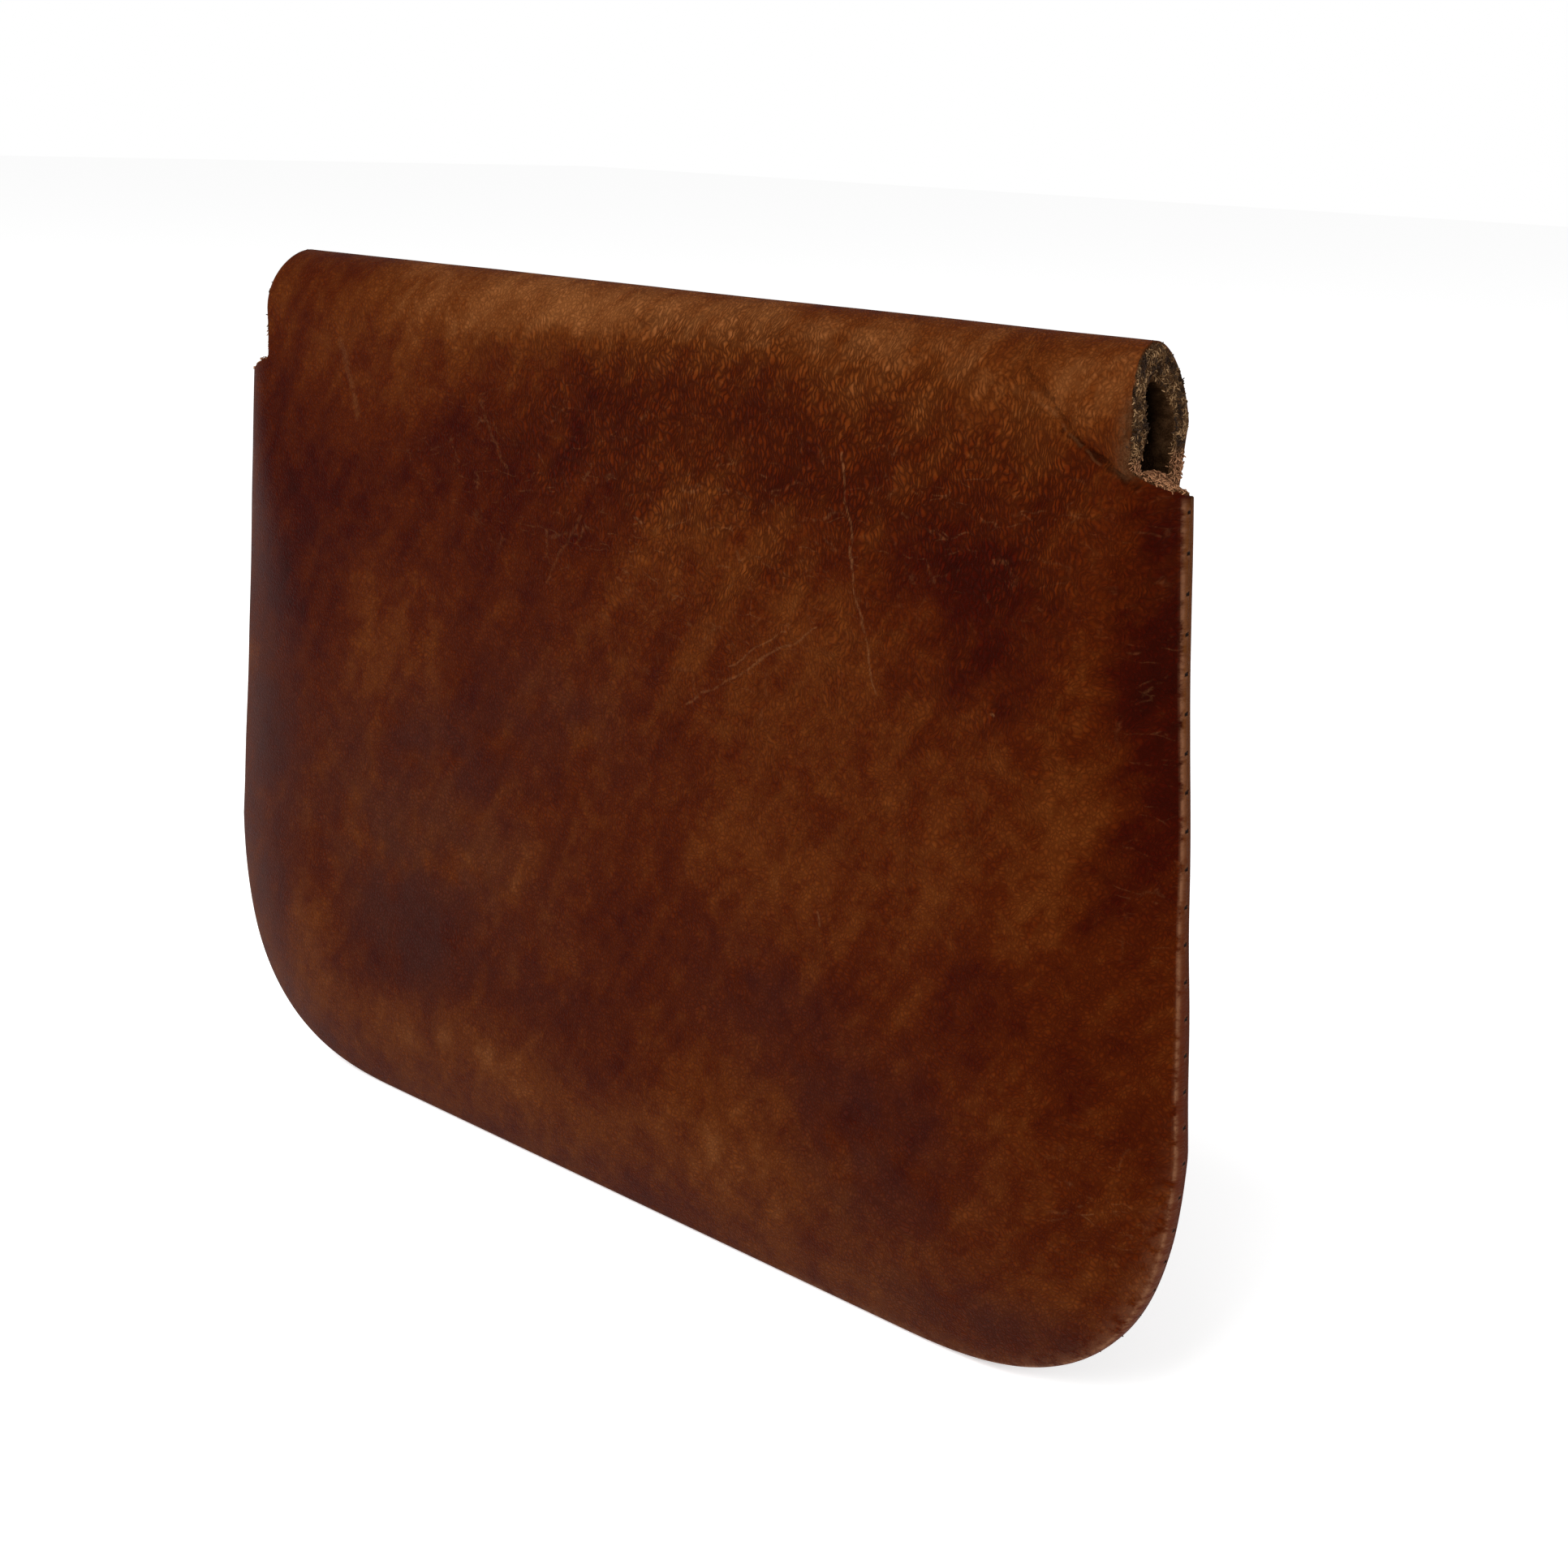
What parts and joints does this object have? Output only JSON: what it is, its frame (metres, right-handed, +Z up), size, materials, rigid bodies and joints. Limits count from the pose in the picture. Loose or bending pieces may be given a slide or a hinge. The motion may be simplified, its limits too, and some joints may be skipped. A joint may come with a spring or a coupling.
{
  "type": "leather coin purse",
  "caption": "Flat leather coin purse: the back panel folds over the top into a snap-fastened flap, and a pocket panel is sewn to it with a turned seam.",
  "frame": {"origin": "middle of the bounding box in X and Y, at the lowest point of the bottom seam", "axes": "+Z up from the bottom seam to the fold, X along the fold, the plain back faces -Y and the flap with its snap faces +Y"},
  "size_m": [0.11, 0.0138, 0.0811],
  "materials": {
    "leather": "waxed pull-up leather, marbled brown, with a soft sheen and a raw fibrous inside",
    "thread": "waxed brown sewing thread",
    "snap_brass": "aged brass plate, softly polished",
    "spring_steel": "plain drawn wire"
  },
  "bodies": {
    "pouch": {"back_panel": "leather", "front_panel": "leather", "seam_thread": "thread", "snap_stud": "snap_brass", "snap_post": "snap_brass"},
    "fold": {"fold_strip": "leather"},
    "flap": {"flap": "leather", "snap_cap": "snap_brass", "snap_socket": "snap_brass", "snap_spring": "spring_steel"}
  },
  "joints": [
    {"name": "fold_back_bend", "type": "hinge", "parent": "pouch", "child": "fold", "pos_m": [0.00155, -0.00502, 0.07914], "axis": [1, 0, 0], "range_deg": [0, 90]},
    {"name": "fold_flap_bend", "type": "hinge", "parent": "fold", "child": "flap", "pos_m": [0.00155, 0.00072, 0.07914], "axis": [1, 0, 0], "range_deg": [0, 90]}
  ],
  "couplings": [
    {"joint": "fold_back_bend", "follows": "fold_flap_bend", "ratio": 1}
  ]
}
